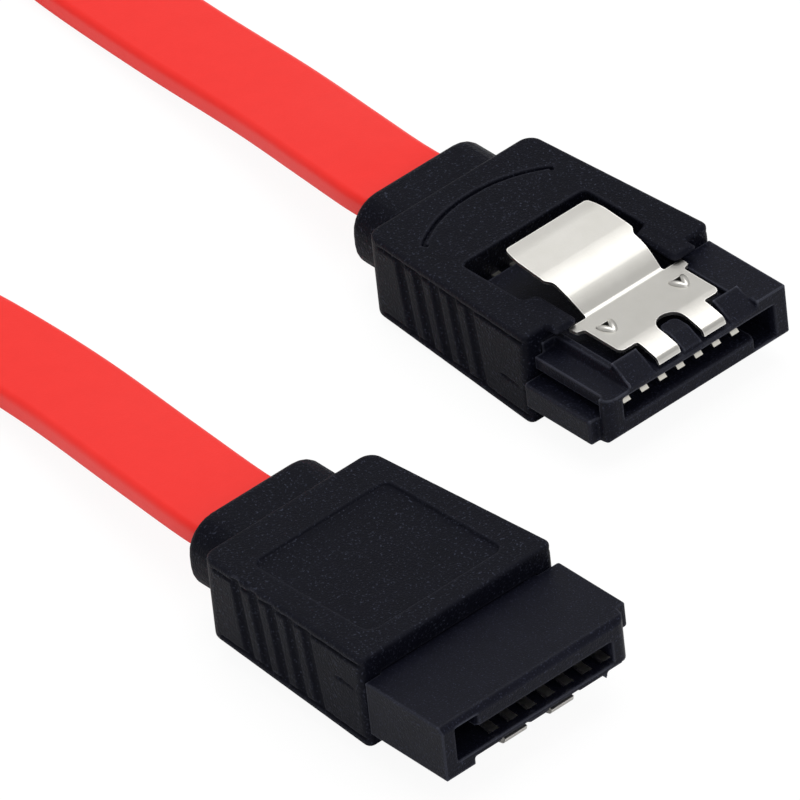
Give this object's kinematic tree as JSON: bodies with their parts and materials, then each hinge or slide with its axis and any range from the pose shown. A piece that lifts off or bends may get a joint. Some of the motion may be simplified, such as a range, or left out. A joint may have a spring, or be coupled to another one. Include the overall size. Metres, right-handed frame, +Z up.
{
  "type": "drive data cable",
  "caption": "Flat red data cable for a disk drive, with straight latching connectors on both ends, folded into a tied loop.",
  "frame": {"origin": "on the surface that the cable lies on, below the middle of the box round the two connectors", "axes": "+Z up from the surface, +X the way both connectors push into their sockets, +Y toward connector A"},
  "size_m": [0.2056, 0.0389, 0.0076],
  "materials": {
    "grip": "black moulded PVC, matte, with a fine spark texture",
    "housing": "harder blue-black moulded plastic, satin",
    "latch": "bright stamped spring steel, satin",
    "carrier": "black moulded plastic",
    "contact": "plated strip",
    "core": "pale core insulation",
    "drain": "tinned wire",
    "jacket": "red flat PVC jacket, satin, with a very fine grain",
    "tie": "black plastic tie"
  },
  "bodies": {
    "cable": {"cable_loop": "jacket", "cable_run_a": "jacket", "cable_run_b": "jacket", "cable_tie": "tie", "contact_1_a": "contact", "contact_1_b": "contact", "contact_2_a": "contact", "contact_2_b": "contact", "contact_3_a": "contact", "contact_3_b": "contact", "contact_4_a": "contact", "contact_4_b": "contact", "contact_5_a": "contact", "contact_5_b": "contact", "contact_6_a": "contact", "contact_6_b": "contact", "contact_7_a": "contact", "contact_7_b": "contact", "contact_carrier_a": "carrier", "contact_carrier_b": "carrier", "drain_wire_1_a": "drain", "drain_wire_1_b": "drain", "drain_wire_2_a": "drain", "drain_wire_2_b": "drain", "drain_wire_3_a": "drain", "drain_wire_3_b": "drain", "front_housing_a": "housing", "front_housing_b": "housing", "grip_a": "grip", "grip_b": "grip", "signal_core_1_a": "core", "signal_core_1_b": "core", "signal_core_2_a": "core", "signal_core_2_b": "core", "signal_core_3_a": "core", "signal_core_3_b": "core", "signal_core_4_a": "core", "signal_core_4_b": "core"},
    "latch_a": {"latch_spring_a": "latch"},
    "latch_b": {"latch_spring_b": "latch"}
  },
  "joints": [
    {"name": "latch_a_press", "type": "hinge", "parent": "cable", "child": "latch_a", "pos_m": [0.00295, 0.0122, 0.0046], "axis": [0, -1, 0], "range_deg": [0, 6], "stiffness_Nm_per_rad": 0.5},
    {"name": "latch_b_press", "type": "hinge", "parent": "cable", "child": "latch_b", "pos_m": [0.01775, -0.0122, 0.00215], "axis": [0, 1, 0], "range_deg": [0, 6], "stiffness_Nm_per_rad": 0.5}
  ]
}
